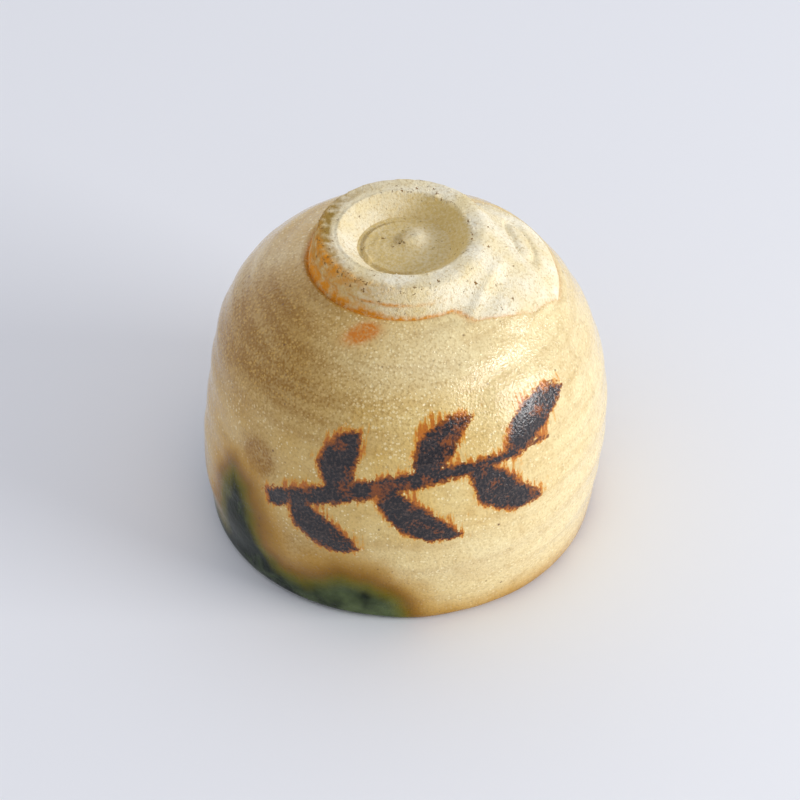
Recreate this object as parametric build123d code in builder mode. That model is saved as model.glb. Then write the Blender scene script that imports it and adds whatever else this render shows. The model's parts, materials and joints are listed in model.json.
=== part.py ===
"""Guinomi sake cup: a thrown stoneware bowl, the foot ring luted to it, its glaze coats and its iron brushwork.

The cup rests mouth down on its rim with its foot up, as it is put out to dry. The origin is the middle of the
plane of the rim, +Z points up to the foot and -Y is the painted front. All sizes are in millimetres, and the
wall's sizes are those of the glazed surface.
"""

import os

from build123d import *

# Outside of the wall: the radius of each section, and its rise above the one before it
rim_radius = 29.4
belly_radius = 30.9
belly_rise = 13.7
upper_wall_radius = 30.1
upper_wall_rise = 11.8
haunch_radius = 27.4
haunch_rise = 10.1
shoulder_radius = 23.5
shoulder_rise = 5.9
seat_rise = 5.2

# The lip is nearly upright: over its own rise it takes up only this share of the belly's overhang
lip_rise = 2.5
lip_flare_share = 0.2

# How far the hand-thrown wall strays from a true round
rim_sway = -0.4
upper_wall_sway = 0.55
rim_stretch = 0.4

# Thickness of the wall, measured level with each section, and of the floor under the foot
lip_thickness = 3.4
lip_flat = 0.5
belly_thickness = 4.0
upper_wall_thickness = 4.6
haunch_thickness = 5.6
floor_thickness = 6.4
pool_radius = 8.5

# Foot ring, with its shallow carved recess and the point that the trimming tool left in the middle
foot_base_radius = 14.6
foot_height = 5.0
foot_draft = 1.6
foot_land = 3.0
foot_rounding = 0.9
recess_depth = 2.8
recess_slope = 3.0
nub_radius = 3.2
nub_height = 0.9

# Clay smeared from the foot over one side of the shoulder: a mound with its middle off the axis
smear_offset = 9.5
smear_widening = 3.5
smear_radius = 14.0
smear_sink = 3.5
smear_edge_drop = 0.5
smear_waist_radius = 12.0
smear_waist_drop = 2.1
smear_top_radius = 3.6
smear_top_gap = 0.9

# Coats
glaze_thickness = 0.4
glaze_ledge = 0.8
dip_depth_left = 14.0
dip_depth_right = 2.6

# A leafy twig brushed in iron on each side of the cup, as that side is seen: its stem bends through three places,
# each a share of the belly's radius across and of the seat's height up
front_stem = [(-0.66, 0.42), (-0.04, 0.6), (0.68, 0.64)]
back_stem = [(-0.42, 0.5), (0.0, 0.58), (0.36, 0.58)]
stem_width = 2.2

# The length, width and bow of a full leaf, and its width where it leaves the stem
leaf_length = 13.5
leaf_width = 4.8
leaf_bow = 1.5
leaf_root_width = 1.6

# Each leaf's place along the stem, its turn from the stem's direction, and its share of the full length
front_leaves = [
    (0.1, -62.0, 0.86),
    (0.27, 48.0, 0.8),
    (0.43, -54.0, 1.1),
    (0.58, 40.0, 0.78),
    (0.76, -48.0, 0.98),
    (0.88, 34.0, 0.62),
]
back_leaves = [(0.2, 46.0, 0.75), (0.42, -52.0, 0.95), (0.7, 42.0, 0.7)]

# Heights and radii that follow from those sizes
lip_flare = lip_flare_share * (belly_radius - rim_radius)
belly_height = belly_rise
upper_wall_height = belly_height + upper_wall_rise
haunch_height = upper_wall_height + haunch_rise
shoulder_height = haunch_height + shoulder_rise
seat_height = shoulder_height + seat_rise
seat_radius = foot_base_radius + glaze_ledge
lip_rounding = (lip_thickness - lip_flat) / 2
cup_height = seat_height + foot_height
foot_top_radius = foot_base_radius - foot_draft
mouth_radius = foot_top_radius - foot_land
recess_radius = mouth_radius - recess_slope
recess_height = cup_height - recess_depth
pool_height = recess_height - floor_thickness

# The glazed sections from the rim to the seat of the foot: radius, height, sway along X, stretch along Y
outer_sections = [
    (rim_radius, 0.0, rim_sway, rim_stretch),
    (rim_radius + lip_flare, lip_rise, rim_sway, rim_stretch),
    (belly_radius, belly_height, 0.0, rim_stretch),
    (upper_wall_radius, upper_wall_height, upper_wall_sway, rim_stretch),
    (haunch_radius, haunch_height, 0.0, 0.0),
    (shoulder_radius, shoulder_height, 0.0, 0.0),
    (seat_radius, seat_height, 0.0, 0.0),
]

# The glazed sections of the hollow, from the rim to the pool at its floor
inner_sections = [
    (rim_radius - lip_thickness, 0.0, rim_sway, rim_stretch),
    (rim_radius + lip_flare - lip_thickness, lip_rise, rim_sway, rim_stretch),
    (belly_radius - belly_thickness, belly_height, 0.0, rim_stretch),
    (upper_wall_radius - upper_wall_thickness, upper_wall_height, upper_wall_sway, rim_stretch),
    (haunch_radius - haunch_thickness, haunch_height, 0.0, 0.0),
    (pool_radius, pool_height, 0.0, 0.0),
]


def moved_in(sections, thickness):
    """The sections moved by a thickness against the outward normal of the line that they make; the rim only rises."""
    moved = []
    last = len(sections) - 1
    for index, (radius, height, sway, stretch) in enumerate(sections):
        before = sections[max(index - 1, 0)]
        after = sections[min(index + 1, last)]
        along = Vector(after[0] - before[0], after[1] - before[1]).normalized()
        if index == 0:
            moved.append((radius - thickness, height + abs(thickness), sway, stretch))
        else:
            moved.append((radius - thickness * along.Y, height + thickness * along.X, sway, stretch))
    return moved


def lofted(sections):
    """A closed form through level ovals."""
    with BuildPart() as form:
        for radius, height, sway, stretch in sections:
            with BuildSketch(Plane.XY.offset(height)):
                with Locations((sway, 0)):
                    Ellipse(radius, radius + stretch)
        loft()
    return form.part


def hollowed(blank, inner, rounding):
    """A blank with the hollow taken out of it and both edges of its lip rounded."""
    with BuildPart() as form:
        add(blank)
        add(lofted(inner), mode=Mode.SUBTRACT)
        lip = form.faces().sort_by(Axis.Z)[0]
        fillet(lip.edges(), rounding)
    return form.part


def round_body(points):
    """A solid turned about Z from an outline of radius and height."""
    with BuildPart() as form:
        with BuildSketch(Plane.XZ):
            with BuildLine():
                Polyline(*points, close=True)
            make_face()
        revolve(axis=Axis.Z)
    return form.part


def twig(wall_side, stem, leaves):
    """A leafy twig, drawn on an upright plane and pushed through the wall on the side that the plane faces."""
    start, bend, end = [Vector(belly_radius * across, seat_height * up) for across, up in stem]
    path = Edge.make_three_point_arc(start, bend, end)
    strokes = [(start, bend, end, stem_width, stem_width)]
    for place, turn, share in leaves:
        root = path.position_at(place)
        along = path.tangent_at(place).rotate(Axis.Z, turn)
        tip = root + along * leaf_length * share
        bow = along.rotate(Axis.Z, 90) * (leaf_bow if turn > 0 else -leaf_bow)
        strokes.append((root, (root + tip) / 2 + bow, tip, leaf_root_width, leaf_width))
    with BuildPart() as form:
        with BuildSketch(wall_side):
            for root, middle, tip, root_width, width in strokes:
                across = (tip - root).normalized().rotate(Axis.Z, 90)
                half_root = across * (root_width / 2)
                half_width = across * (width / 2)
                with BuildLine():
                    ThreePointArc(root + half_root, middle + half_width, tip)
                    ThreePointArc(tip, middle - half_width, root - half_root)
                    Line(root - half_root, root + half_root)
                make_face()
        extrude(amount=2 * belly_radius)
    return form.part


os.makedirs("parts", exist_ok=True)

# The clay as thrown stands a glaze's thickness inside the glazed surface
clay_outer = moved_in(outer_sections, glaze_thickness)
clay_inner = moved_in(inner_sections, -glaze_thickness)
clay_seat_radius, clay_seat_height = clay_outer[-1][:2]

with BuildPart() as clay_blank:
    add(lofted(clay_outer))
    with BuildSketch(Plane.XZ):
        with BuildLine():
            Line((0, clay_seat_height), (0, recess_height + nub_height))
            Spline(
                (0, recess_height + nub_height),
                (nub_radius, recess_height),
                tangents=((nub_radius, -nub_height), (1, 0)),
            )
            TangentArc((nub_radius, recess_height), (clay_seat_radius, clay_seat_height), tangent=(1, 0))
            Line((clay_seat_radius, clay_seat_height), (0, clay_seat_height))
        make_face()
    revolve(axis=Axis.Z)

with BuildPart() as clay_body:
    add(hollowed(clay_blank.part, clay_inner, lip_rounding - glaze_thickness))
clay_body.part.label = "clay_body"
export_step(clay_body.part, "parts/clay_body.step")

# The foot is a plug with a shallow hollow carved in it, and the domed base of the bowl shows at its bottom
foot_plug = round_body(
    [(0, clay_seat_height), (foot_base_radius, clay_seat_height), (foot_top_radius, cup_height), (0, cup_height)]
)
foot_hollow = round_body(
    [
        (0, clay_seat_height),
        (recess_radius, clay_seat_height),
        (recess_radius, recess_height),
        (mouth_radius, cup_height),
        (0, cup_height),
    ]
)
with BuildPart() as foot_ring:
    add(foot_plug)
    add(foot_hollow, mode=Mode.SUBTRACT)
    fillet(foot_ring.faces().sort_by(Axis.Z)[-1].edges(), foot_rounding)
    add(clay_body.part, mode=Mode.SUBTRACT)
foot_ring.part.label = "foot_ring"
export_step(foot_ring.part, "parts/foot_ring.step")

smear_sections = [
    (smear_radius, shoulder_height - smear_sink, smear_offset, smear_widening),
    (smear_radius, shoulder_height - smear_edge_drop, smear_offset, smear_widening),
    (smear_waist_radius, seat_height - smear_waist_drop, smear_offset, smear_widening),
    (smear_top_radius, cup_height - smear_top_gap, smear_offset, smear_widening),
]
smear_form = lofted(smear_sections)

with BuildPart() as luting_smear:
    add(smear_form)
    add(foot_plug, mode=Mode.SUBTRACT)
    add(clay_blank.part, mode=Mode.SUBTRACT)
luting_smear.part.label = "luting_smear"
export_step(luting_smear.part, "parts/luting_smear.step")

# The copper glaze is a dip over the lip up to a slanting line, and the straw glaze lies above that line
dip_fall = dip_depth_left - dip_depth_right
dip_line = Plane(
    origin=(0, 0, (dip_depth_left + dip_depth_right) / 2),
    x_dir=(2 * rim_radius, 0, -dip_fall),
    z_dir=(dip_fall, 0, 2 * rim_radius),
)

with BuildPart() as copper_rim:
    add(hollowed(lofted(outer_sections), inner_sections, lip_rounding))
    add(clay_body.part, mode=Mode.SUBTRACT)
    split(bisect_by=dip_line, keep=Keep.BOTTOM)
copper_rim.part.label = "copper_rim"
export_step(copper_rim.part, "parts/copper_rim.step")

with BuildPart() as inner_glaze:
    add(lofted(clay_inner))
    add(lofted(inner_sections), mode=Mode.SUBTRACT)
    split(bisect_by=dip_line, keep=Keep.TOP)
inner_glaze.part.label = "inner_glaze"
export_step(inner_glaze.part, "parts/inner_glaze.step")

front_twig = twig(Plane.XZ, front_stem, front_leaves)
back_twig = twig(Plane.XZ.rotated((0, 0, 180)), back_stem, back_leaves)

with BuildPart() as outer_coat:
    add(lofted(outer_sections))
    add(clay_blank.part, mode=Mode.SUBTRACT)
    split(bisect_by=dip_line, keep=Keep.TOP)
    with Locations((0, 0, seat_height)):
        Cylinder(foot_base_radius, 2 * foot_height, mode=Mode.SUBTRACT)
    add(smear_form, mode=Mode.SUBTRACT)

with BuildPart() as outer_glaze:
    add(outer_coat.part)
    add(front_twig, mode=Mode.SUBTRACT)
    add(back_twig, mode=Mode.SUBTRACT)
outer_glaze.part.label = "outer_glaze"
export_step(outer_glaze.part, "parts/outer_glaze.step")

with BuildPart() as front_brushwork:
    add(outer_coat.part)
    add(front_twig, mode=Mode.INTERSECT)
front_brushwork.part.label = "front_brushwork"
export_step(front_brushwork.part, "parts/front_brushwork.step")

with BuildPart() as back_brushwork:
    add(outer_coat.part)
    add(back_twig, mode=Mode.INTERSECT)
back_brushwork.part.label = "back_brushwork"
export_step(back_brushwork.part, "parts/back_brushwork.step")

for piece in (clay_body, foot_ring, luting_smear, copper_rim, inner_glaze, outer_glaze, front_brushwork, back_brushwork):
    solid_count = len(piece.part.solids())
    print(f"{piece.part.label}: {solid_count} solid, {piece.part.volume:.0f} cubic mm, sound: {piece.part.is_valid}")
print(f"height {cup_height:.1f} mm")
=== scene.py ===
import json
import math
import bpy
import numpy as np
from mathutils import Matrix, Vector
from mathutils.bvhtree import BVHTree
from mathutils.kdtree import KDTree


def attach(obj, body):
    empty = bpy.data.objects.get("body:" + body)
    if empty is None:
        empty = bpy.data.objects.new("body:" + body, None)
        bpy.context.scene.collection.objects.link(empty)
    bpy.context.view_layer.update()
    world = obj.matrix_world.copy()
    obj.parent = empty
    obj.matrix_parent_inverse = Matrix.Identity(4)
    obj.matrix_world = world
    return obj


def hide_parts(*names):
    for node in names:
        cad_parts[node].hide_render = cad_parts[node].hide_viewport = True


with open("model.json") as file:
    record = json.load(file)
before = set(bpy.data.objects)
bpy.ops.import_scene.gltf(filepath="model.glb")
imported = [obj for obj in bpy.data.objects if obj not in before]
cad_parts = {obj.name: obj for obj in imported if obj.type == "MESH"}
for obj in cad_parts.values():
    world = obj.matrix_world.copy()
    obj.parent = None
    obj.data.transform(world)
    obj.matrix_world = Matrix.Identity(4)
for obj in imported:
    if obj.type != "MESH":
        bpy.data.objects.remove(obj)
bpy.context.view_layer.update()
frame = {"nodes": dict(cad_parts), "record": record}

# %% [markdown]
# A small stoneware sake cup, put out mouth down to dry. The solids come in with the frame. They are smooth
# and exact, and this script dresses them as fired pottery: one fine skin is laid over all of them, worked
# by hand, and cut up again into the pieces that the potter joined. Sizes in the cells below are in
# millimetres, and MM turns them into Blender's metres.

MM = 0.001


# %% [markdown]
# The camera comes first, because every later choice is judged through it. The cup was seen from well above,
# at about 41 degrees, through a long lens, so its sides hardly converge. A shift would follow the camera
# into other views, so the framing is done by aiming a little below the cup's middle.

# %% Camera
CAMERA_HEIGHT = math.radians(41.5)
CAMERA_DISTANCE = 600 * MM
AIM = Vector((-0.64, -1.84, 19.92)) * MM
CAMERA_LENS, FILM_WIDTH = 175.96, 36.0


def placed(name, data):
    """An object with this data, put into the scene."""
    made = bpy.data.objects.new(name, data)
    bpy.context.scene.collection.objects.link(made)
    return made


camera_data = bpy.data.cameras.new("table_camera")
camera_data.lens = CAMERA_LENS
camera_data.sensor_width = FILM_WIDTH
camera = placed("table_camera", camera_data)
camera.location = AIM + Vector((0, -math.cos(CAMERA_HEIGHT), math.sin(CAMERA_HEIGHT))) * CAMERA_DISTANCE
camera.rotation_euler = (math.pi / 2 - CAMERA_HEIGHT, 0, 0)
bpy.context.scene.camera = camera
print("camera at", [round(v / MM) for v in camera.location], "mm")

# %% [markdown]
# A thrown cup starts as a turned form. This guide is one rough outline from the tip inside the foot, over
# the foot, down the wall, round the lip and up again inside. Where the foot meets the shoulder the guide
# cuts the corner, so that rays sent down from it never cross each other. The rows lie close where the eye
# looks for detail and wide where it can't see. The guide is only a net of places to start from: a later
# step lays it on the solids.

# %% The guide's outline
# Radius and height of each point, the gaps that rows keep, and where each gap holds
GUIDE = [
    (0.0, 50.0), (1.4, 49.7), (3.2, 49.0), (6.9, 48.9), (9.9, 51.5), (10.6, 51.8), (12.0, 51.8),
    (13.0, 51.3), (17.0, 48.0), (21.5, 44.0), (24.2, 41.0), (27.6, 35.4), (30.1, 25.5), (31.0, 14.0),
    (30.3, 6.0), (29.6, 2.5), (29.2, 0.8), (28.4, 0.0), (27.2, 0.0), (26.3, 0.8), (26.1, 2.5),
    (26.9, 13.7), (25.5, 25.5), (21.8, 35.6), (15.5, 40.4), (8.5, 42.4), (0.0, 42.5),
]
FOOT_GAP, SHOULDER_GAP, WALL_GAP, LIP_GAP, INSIDE_GAP = 0.2, 0.28, 0.46, 0.3, 1.2
FOOT_REACH, SHOULDER_FROM, LIP_UP_TO, PAST_LIP = 21, 33, 4, 6
FINE_POINTS, GAP_BLEND = 6000, 100
SIDES = 384


def rounded(points):
    """One round of corner cutting that keeps both ends."""
    points = np.array(points, float)
    nearer = points[:-1] * 0.75 + points[1:] * 0.25
    further = points[:-1] * 0.25 + points[1:] * 0.75
    middle = np.stack([nearer, further], 1).reshape(-1, 2)
    return np.concatenate([points[:1], middle[1:-1], points[-1:]])


def finely(points):
    """A rounded line of many close points, and how far along it each of them lies."""
    line = rounded(rounded(points))
    wanted = np.linspace(0, len(line) - 1, FINE_POINTS)
    line = np.stack([np.interp(wanted, np.arange(len(line)), line[:, axis]) for axis in (0, 1)], 1)
    return line, np.concatenate([[0], np.cumsum(np.linalg.norm(np.diff(line, axis=0), axis=1))])


def rows_along(points, gaps):
    """Places along a line of points, as far apart as the gap that each stretch asks for."""
    steps = np.linalg.norm(np.diff(points, axis=0), axis=1)
    count = np.concatenate([[0], np.cumsum(steps / ((gaps[:-1] + gaps[1:]) / 2))])
    wanted = np.linspace(0, count[-1], int(count[-1]) + 1)
    return np.stack([np.interp(wanted, count, points[:, axis]) for axis in (0, 1)], 1)


outline, walked = finely(GUIDE)
lip_at = walked[np.argmin(outline[:, 1])]
radius, height = outline.T
gaps = np.where(radius < FOOT_REACH, FOOT_GAP, np.where(height > SHOULDER_FROM, SHOULDER_GAP, WALL_GAP))
gaps = np.where((height < LIP_UP_TO) & (walked < lip_at + PAST_LIP), LIP_GAP, gaps)
gaps = np.where(walked >= lip_at + PAST_LIP, INSIDE_GAP, gaps)
blend = np.ones(2 * GAP_BLEND + 1) / (2 * GAP_BLEND + 1)
gaps = np.convolve(np.pad(gaps, GAP_BLEND, mode="edge"), blend, mode="valid")
rows = rows_along(outline, gaps)
print(len(rows), "rows of", SIDES)

# %% Turning the outline
# Faces above this height belong to the foot, and tell whether the net is the right way out
TOP_FROM = 48.0


def turned(name, outline_rows):
    """A closed round net from rows of radius and height, whose first and last rows are its poles."""
    angles = np.arange(SIDES) * 2 * math.pi / SIDES
    ring_rows = outline_rows[1:-1]
    places = np.zeros((len(ring_rows), SIDES, 3))
    places[..., 0] = ring_rows[:, :1] * np.sin(angles)
    places[..., 1] = ring_rows[:, :1] * np.cos(angles)
    places[..., 2] = ring_rows[:, 1:]
    poles = [[[0, 0, row[1]]] for row in (outline_rows[0], outline_rows[-1])]
    points = np.concatenate([poles[0], places.reshape(-1, 3), poles[1]]) * MM
    index = 1 + np.arange(len(ring_rows) * SIDES).reshape(len(ring_rows), SIDES)
    after = np.roll(index, -1, axis=1)
    quads = np.stack([index[:-1], after[:-1], after[1:], index[1:]], -1).reshape(-1, 4)
    top = np.stack([np.zeros(SIDES, int), after[0], index[0]], -1)
    bottom = np.stack([np.full(SIDES, len(points) - 1), index[-1], after[-1]], -1)
    mesh = bpy.data.meshes.new(name)
    mesh.from_pydata(points.tolist(), [], top.tolist() + quads.tolist() + bottom.tolist())
    if sum(face.normal.z * face.area for face in mesh.polygons if face.center.z > TOP_FROM * MM) < 0:
        mesh.flip_normals()
    mesh.shade_smooth()
    return placed(name, mesh)


guide = turned("turned_guide", rows)
print("guide has", len(guide.data.polygons), "faces")

# %% [markdown]
# Every tree of nodes below, for shapes and for materials, is put together with one small function. Colours
# are written as they look on a screen, and another function turns them into the linear light of shaders.
# Pits, crystals and specks are all dots strewn by chance, so they share one pattern.

# %% Adding nodes
def add_node(tree, kind, sockets=None, **settings):
    """Adds a node, sets its settings, and fills its sockets from nodes, sockets or plain values."""
    made = tree.nodes.new(kind)
    for name, value in settings.items():
        setattr(made, name, value)
    for socket, value in (sockets or {}).items():
        if isinstance(value, bpy.types.Node):
            value = value.outputs[0]
        if isinstance(value, bpy.types.NodeSocket):
            tree.links.new(value, made.inputs[socket])
        else:
            made.inputs[socket].default_value = value
    return made


def colour(code):
    """A screen colour such as c8a060 as linear red, green, blue and full cover."""
    parts = [int(code[i:i + 2], 16) / 255 for i in (0, 2, 4)]
    return [p / 12.92 if p <= 0.04045 else ((p + 0.055) / 1.055) ** 2.4 for p in parts] + [1.0]


def new_material(name):
    """A material with this name, its tree of nodes and its shader."""
    material = bpy.data.materials.new(name)
    material.use_nodes = True
    return material, material.node_tree, material.node_tree.nodes["Principled BSDF"]


def per_mm(size):
    """The scale of a pattern in metres whose features are this many millimetres wide."""
    return 1 / (size * MM)


DOT_SOFTNESS = 0.12


def dots(tree, place, pitch, share, least, most):
    """Soft round dots in a share of the cells of a pitch in mm, with a least and a most radius in mm."""
    cells = add_node(tree, "ShaderNodeTexVoronoi", {"Vector": place, "Scale": per_mm(pitch)}).outputs
    chance = add_node(tree, "ShaderNodeSeparateColor", {0: cells["Color"]}).outputs
    few = add_node(tree, "ShaderNodeMath", {0: chance[0], 1: share}, operation="LESS_THAN")
    size = add_node(tree, "ShaderNodeMapRange", {0: chance[1], 3: least / pitch, 4: most / pitch})
    inside = add_node(tree, "ShaderNodeMath", {0: size, 1: cells["Distance"]}, operation="SUBTRACT")
    soft = add_node(tree, "ShaderNodeMapRange", {0: inside, 2: DOT_SOFTNESS})
    return add_node(tree, "ShaderNodeMath", {0: soft, 1: few}, operation="MULTIPLY")


print("middle grey as light:", round(colour("808080")[0], 3))

# %% [markdown]
# The bare clay is a coarse stoneware, trimmed with a tool and never glazed. To the eye it is cream, dry and
# sandy, with brown pits where grit was dragged out, an orange flash beside the glaze, and darker olive on the
# left of the foot. A tan is painted shade in the shelter of the foot's hollow, but is left out on the lit
# side of the point in the middle as painted light; on the front of the foot the tan is the clay's colour.
# Attributes on the mesh say where each of these lies, and noise breaks them up. Coarse unglazed clay has
# almost no gloss, so its roughness is high; bump draws its grain.

# %% Trimmed stoneware clay
def trimmed_stoneware():
    """Bare coarse stoneware: sandy, matt and pitted, flashed orange beside the glaze."""
    material, tree, shader = new_material("trimmed_stoneware_clay")
    place = add_node(tree, "ShaderNodeTexCoord").outputs["Object"]
    marks = {
        key: add_node(tree, "ShaderNodeAttribute", attribute_name=key).outputs["Fac"]
        for key in ("flash", "scorch", "pitted", "toasted")
    }
    noise = {
        key: add_node(tree, "ShaderNodeTexNoise", {
            "Vector": place, "Scale": per_mm(size), "Detail": 3.0}).outputs
        for key, size in (("cloud", 5.0), ("blotch", 1.2), ("sand", 0.42), ("grain", 0.24))
    }
    cloud, blotch, sand, grain = (noise[key][0] for key in ("cloud", "blotch", "sand", "grain"))

    tone = add_node(tree, "ShaderNodeMapRange", {0: cloud, 1: 0.35, 2: 0.7})
    base = add_node(tree, "ShaderNodeMix", {
        0: tone, 6: colour("f8efd4"), 7: colour("eedcac")}, data_type="RGBA").outputs[2]
    dark_sand = add_node(tree, "ShaderNodeMapRange", {0: sand, 1: 0.5, 2: 0.72, 4: 0.5})
    even = add_node(tree, "ShaderNodeMapRange", {0: sand, 1: 0.34, 2: 0.62, 3: 0.7, 4: 1.1})
    broken = add_node(tree, "ShaderNodeMapRange", {0: blotch, 1: 0.34, 2: 0.6, 3: 0.35, 4: 1.25})
    flecked = add_node(tree, "ShaderNodeMath", {0: broken, 1: even}, operation="MULTIPLY")
    covers = [(dark_sand, "b8944a")]
    # Painted shade in the hollow and tan on the front of the foot, olive on the left, and the flash
    for key, code, breaks in (
        ("toasted", "d6ba74", even), ("scorch", "a08036", broken), ("flash", "dc8c0c", flecked),
    ):
        spread = add_node(tree, "ShaderNodeMath", {
            0: marks[key], 1: breaks}, operation="MULTIPLY", use_clamp=True)
        covers.append((spread, code))

    stray = add_node(tree, "ShaderNodeVectorMath", {
        0: noise["sand"]["Color"], "Scale": 1.3 * MM}, operation="SCALE")
    strayed = add_node(tree, "ShaderNodeVectorMath", {0: place, 1: stray}, operation="ADD")
    pit = dots(tree, strayed, 0.62, marks["pitted"], 0.08, 0.26)
    covers.append((pit, "94682a"))
    for cover, code in covers:
        base = add_node(tree, "ShaderNodeMix", {
            0: cover, 6: base, 7: colour(code)}, data_type="RGBA").outputs[2]
    tree.links.new(base, shader.inputs["Base Color"])

    holed = add_node(tree, "ShaderNodeMath", {0: pit, 1: -0.6, 2: grain}, operation="MULTIPLY_ADD")
    sanded = add_node(tree, "ShaderNodeMath", {0: sand, 1: 0.8, 2: holed}, operation="MULTIPLY_ADD")
    bump = add_node(tree, "ShaderNodeBump", {"Height": sanded, "Distance": 0.15 * MM, "Strength": 1.0})
    tree.links.new(bump.outputs[0], shader.inputs["Normal"])
    shader.inputs["Roughness"].default_value = 0.9
    shader.inputs["IOR"].default_value = 1.5
    return material


clay_material = trimmed_stoneware()
print("material", clay_material.name, "has", len(clay_material.node_tree.nodes), "nodes")

# %% [markdown]
# Laying the net on the solids is a job for Geometry Nodes: the same two questions are asked at every point.
# Where does a ray sent inwards meet the solids, and how far away is each of them? Those distances are kept
# on the mesh, and every stain, edge and brush mark later grows out of them. One more is asked from a little
# nearer the rim, because melted iron ran from there towards the foot, which was down in the kiln.

# %% The tree that lays the net
LAYING = {"Reach": 6.0 * MM}
RAY_LENGTH = 24.0
RUN_STEP = 1.1
SOCKET_KINDS = {float: "NodeSocketFloat", int: "NodeSocketInt"}
IRON_NODES = ["front_brushwork", "back_brushwork"]


def new_tree(name, inputs):
    """A tree with a mesh and some named numbers coming in, and a mesh going out, and what comes in."""
    tree = bpy.data.node_groups.new(name, "GeometryNodeTree")
    tree.interface.new_socket("Geometry", in_out="INPUT", socket_type="NodeSocketGeometry")
    for key, value in inputs.items():
        tree.interface.new_socket(key, in_out="INPUT", socket_type=SOCKET_KINDS[type(value)])
    tree.interface.new_socket("Geometry", in_out="OUTPUT", socket_type="NodeSocketGeometry")
    return tree, add_node(tree, "NodeGroupInput").outputs


def end_tree(tree, shape, material):
    """Ends a tree: copies become real faces, because the export drops the others, and take a material."""
    real = add_node(tree, "GeometryNodeRealizeInstances", {0: shape})
    dressed = add_node(tree, "GeometryNodeSetMaterial", {"Geometry": real, "Material": material})
    add_node(tree, "NodeGroupOutput", {0: dressed})
    return tree


def laying_tree(targets, material):
    """A tree that casts a net onto the named solids and stores how far each of them is, in millimetres."""
    tree, given = new_tree("lay_on_solids", LAYING)
    solids = {
        name: add_node(tree, "GeometryNodeObjectInfo", {"Object": frame["nodes"][name]}).outputs["Geometry"]
        for name in targets
    }
    joined, iron = add_node(tree, "GeometryNodeJoinGeometry"), add_node(tree, "GeometryNodeJoinGeometry")
    for name, solid in solids.items():
        tree.links.new(solid, joined.inputs[0])
        if name in IRON_NODES:
            tree.links.new(solid, iron.inputs[0])
    here = add_node(tree, "GeometryNodeInputPosition")
    normal = add_node(tree, "GeometryNodeInputNormal")
    out = add_node(tree, "ShaderNodeVectorMath", {0: normal, "Scale": given["Reach"]}, operation="SCALE")
    start = add_node(tree, "ShaderNodeVectorMath", {0: here, 1: out}, operation="ADD")
    inwards = add_node(tree, "ShaderNodeVectorMath", {0: normal, "Scale": -1.0}, operation="SCALE")
    ray = add_node(tree, "GeometryNodeRaycast", {
        "Target Geometry": joined, "Source Position": start, "Ray Direction": inwards,
        "Ray Length": RAY_LENGTH * MM}).outputs
    laid = add_node(tree, "GeometryNodeSetPosition", {
        "Geometry": given["Geometry"], "Selection": ray["Is Hit"], "Position": ray["Hit Position"]})
    rise = add_node(tree, "ShaderNodeVectorMath", {
        0: normal, 1: (0, 0, 1)}, operation="DOT_PRODUCT").outputs["Value"]
    level = add_node(tree, "ShaderNodeVectorMath", {0: normal, "Scale": rise}, operation="SCALE")
    up_wall = add_node(tree, "ShaderNodeVectorMath", {0: (0, 0, 1), 1: level}, operation="SUBTRACT")
    up_wall = add_node(tree, "ShaderNodeVectorMath", {0: up_wall}, operation="NORMALIZE")
    samples = {f"to_{name}": (solid, here) for name, solid in solids.items()}
    back = add_node(tree, "ShaderNodeVectorMath", {0: up_wall, "Scale": -RUN_STEP * MM}, operation="SCALE")
    below = add_node(tree, "ShaderNodeVectorMath", {0: here, 1: back}, operation="ADD")
    samples["run"] = (iron, below)
    for name, (solid, where) in samples.items():
        near = add_node(tree, "GeometryNodeProximity", {
            0: solid, "Sample Position": where}, target_element="FACES").outputs["Distance"]
        in_mm = add_node(tree, "ShaderNodeMath", {0: near, 1: 1 / MM}, operation="MULTIPLY")
        laid = add_node(tree, "GeometryNodeStoreNamedAttribute", {
            "Geometry": laid, "Name": name, "Value": in_mm}, data_type="FLOAT", domain="POINT")
    return end_tree(tree, laid, material)


# %% Running a tree
def run_tree(net, tree, inputs):
    """Puts a net through a tree with its named inputs set, and keeps the result as a plain mesh."""
    modifier = net.modifiers.new("tree", "NODES")
    modifier.node_group = tree
    for item in tree.interface.items_tree:
        if item.in_out == "INPUT" and item.name in inputs:
            modifier[item.identifier] = inputs[item.name]
    seen = net.evaluated_get(bpy.context.evaluated_depsgraph_get())
    mesh = bpy.data.meshes.new_from_object(seen)
    net.modifiers.remove(modifier)
    net.data = mesh
    return mesh


def points_of(mesh):
    """The places of a mesh's points, in metres."""
    flat = np.zeros(len(mesh.vertices) * 3)
    mesh.vertices.foreach_get("co", flat)
    return flat.reshape(-1, 3)


def values_of(mesh, name):
    """One number for each point, from an attribute of the mesh."""
    flat = np.zeros(len(mesh.vertices), np.float32)
    mesh.attributes[name].data.foreach_get("value", flat)
    return flat.astype(float)


COATS = ["outer_glaze", "inner_glaze", "copper_rim", "front_brushwork", "back_brushwork"]
BARE = ["foot_ring", "luting_smear", "clay_body"]
skin = run_tree(guide, laying_tree(COATS + BARE, clay_material), LAYING)
to = {name: values_of(skin, f"to_{name}") for name in COATS + BARE}
nearest = np.min([to[name] for name in COATS + BARE], axis=0)
print("net laid: points further than 0.1 mm from every solid:", int((nearest > 0.1).sum()))

# %% [markdown]
# Now the distances become fields that mean something to a potter. A field is negative inside a coat and
# positive outside it, in millimetres, so its zero line is the coat's edge. The bearing goes round the cup,
# 0 at the painted front and 90 at the side with the smear, where the glaze ran a little way up over the
# lower edge of the bare clay. The flow gives each point a place on an unrolled wall with no seam: round the
# cup, and along the wall.

# %% Fields
MEAN_RADIUS = 28


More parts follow.
